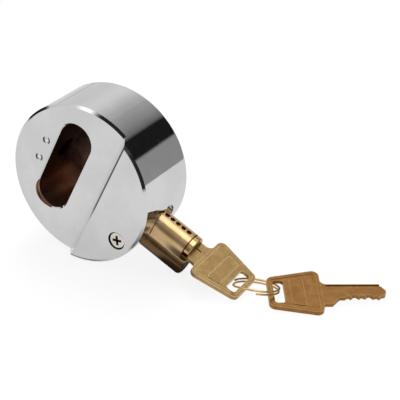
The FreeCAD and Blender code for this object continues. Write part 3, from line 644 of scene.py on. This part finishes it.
def makeFloor():
    mesh = bpy.data.meshes.new("studioFloor")
    shape = bmesh.new()
    bmesh.ops.create_circle(shape, cap_ends=True, segments=paper["sides"], radius=paper["radius"])
    bmesh.ops.translate(shape, verts=shape.verts, vec=(paper["middle"], 0, paper["height"]))
    shape.normal_update()
    bmesh.ops.reverse_faces(shape, faces=[face for face in shape.faces if face.normal.z < 0])
    shape.to_mesh(mesh)
    shape.free()
    floor = bpy.data.objects.new("studioFloor", mesh)
    scene.collection.objects.link(floor)
    mesh.materials.append(makePaper())


# how light the surroundings are that polished metal shows, by the angle from the right over the top
wallTones = [(0.0, 0.32), (24.0, 0.32), (28.0, 0.012), (54.0, 0.012), (59.0, 0.17), (70.0, 0.29),
             (81.0, 0.36), (91.0, 0.43), (101.0, 0.54), (111.0, 0.67), (121.0, 0.80), (131.0, 0.83),
             (150.0, 0.74), (166.0, 0.72), (176.0, 0.74), (180.0, 0.55)]
# the same on the camera's side, by how far a direction points to the front
roomTones = [(0.0, 0.05), (0.45, 0.02), (0.665, 0.02), (0.70, 0.62), (0.80, 0.42), (0.90, 0.20), (1.0, 0.14)]
# the light that fills the scene, the tone behind the lock, and where the room's front turns into its walls
studio = {"ambient": 0.85, "cameraTone": 1.0, "turnFrom": -0.25, "turnTo": 0.25}
# directions as parts of a unit vector: the left wall, a dark gap low in it, and two soft boxes overhead
leftWall = {"from": -0.22, "to": -0.5, "forward": 0.6}
darkGap = {"from": -0.92, "to": -0.965, "low": -0.12, "high": -0.02, "tone": 0.02}
frontBox = {"low": 0.68, "high": 0.82, "deep": (-0.56, -0.46, 0.14, 0.34), "tone": 2.1}
backBox = {"low": 0.655, "high": 0.75, "from": 0.42, "to": 0.56, "tone": 1.2}


def mirroredRoom(tree):
    x, y, z = partsOf(tree, "Generated")
    overTop = mathNode(tree, "ABSOLUTE", mathNode(tree, "ARCTAN2", z, x))
    walls = rampNode(tree, mathNode(tree, "DIVIDE", overTop, math.pi, True),
                     [(angle / 180.0, grey(tone)) for angle, tone in wallTones])
    room = rampNode(tree, mathNode(tree, "MULTIPLY", y, -1.0, True),
                    [(forward, grey(tone)) for forward, tone in roomTones])
    leftward = stepBetween(tree, x, leftWall["from"], leftWall["to"])
    backward = mathNode(tree, "ADD", y, product(tree, leftward, leftWall["forward"]))
    around = mixColour(tree, stepBetween(tree, backward, studio["turnFrom"], studio["turnTo"]), room, walls)
    inGap = product(tree, stepBetween(tree, x, darkGap["from"], darkGap["to"]),
                    stepBetween(tree, z, darkGap["low"], darkGap["high"]))
    around = mixColour(tree, inGap, around, grey(darkGap["tone"]))
    inBack = product(tree, stepBetween(tree, z, backBox["low"], backBox["high"]),
                     stepBetween(tree, y, backBox["from"], backBox["to"]))
    around = mixColour(tree, inBack, around, grey(backBox["tone"]))
    inFront = product(tree, stepBetween(tree, z, frontBox["low"], frontBox["high"]),
                      bandOf(tree, y, frontBox["deep"]))
    return mixColour(tree, inFront, around, grey(frontBox["tone"]))


def makeWorld():
    world = bpy.data.worlds.new("studioWorld")
    scene.world = world
    world.use_nodes = True
    tree = world.node_tree
    tree.nodes.clear()
    output = tree.nodes.new("ShaderNodeOutputWorld")
    light = tree.nodes.new("ShaderNodeBackground")
    rays = tree.nodes.new("ShaderNodeLightPath")
    mirrored = highest(tree, rays.outputs["Is Glossy Ray"], rays.outputs["Is Transmission Ray"])
    lighting = mixColour(tree, mirrored, grey(studio["ambient"]), mirroredRoom(tree))
    seen = mixColour(tree, rays.outputs["Is Camera Ray"], lighting, grey(studio["cameraTone"]))
    tree.links.new(seen, light.inputs["Color"])
    tree.links.new(light.outputs[0], output.inputs["Surface"])


# the photo's viewpoint in metres, and its focal length in pixels of a frame that is 400 wide
photoView = {"place": (0.2818, -0.3972, 0.2633), "forward": (-0.4263, 0.7630, -0.4856),
             "right": (0.8613, 0.5060, 0.0391), "focal": 1264.7, "frame": 400.0,
             "sensor": 36.0, "nearest": 0.01}


def makeCamera():
    data = bpy.data.cameras.new("photoCamera")
    data.sensor_width = photoView["sensor"]
    data.lens = photoView["focal"] / photoView["frame"] * photoView["sensor"]
    data.clip_start = photoView["nearest"]
    camera = bpy.data.objects.new("photoCamera", data)
    scene.collection.objects.link(camera)
    forward = Vector(photoView["forward"]).normalized()
    right = Vector(photoView["right"])
    right = (right - forward * right.dot(forward)).normalized()
    up = right.cross(forward)
    turned = Matrix((right, up, -forward)).transposed().to_4x4()
    camera.matrix_world = Matrix.Translation(photoView["place"]) @ turned
    scene.camera = camera


keyLamp = {"place": (-0.25, 0.35, 0.8), "aim": (0.02, 0, 0), "size": 0.5, "power": 6.0}


def makeKeyLamp():
    data = bpy.data.lights.new("keyLamp", "AREA")
    data.shape = "RECTANGLE"
    data.size = data.size_y = keyLamp["size"]
    data.energy = keyLamp["power"]
    lamp = bpy.data.objects.new("keyLamp", data)
    scene.collection.objects.link(lamp)
    lamp.location = keyLamp["place"]
    direction = Vector(keyLamp["aim"]) - Vector(keyLamp["place"])
    lamp.rotation_euler = direction.to_track_quat("-Z", "Y").to_euler()
    lamp.visible_camera = False
    lamp.visible_glossy = False


makeFloor()
makeWorld()
makeKeyLamp()
makeCamera()
scene.view_settings.view_transform = "Standard"
print("studio ready")
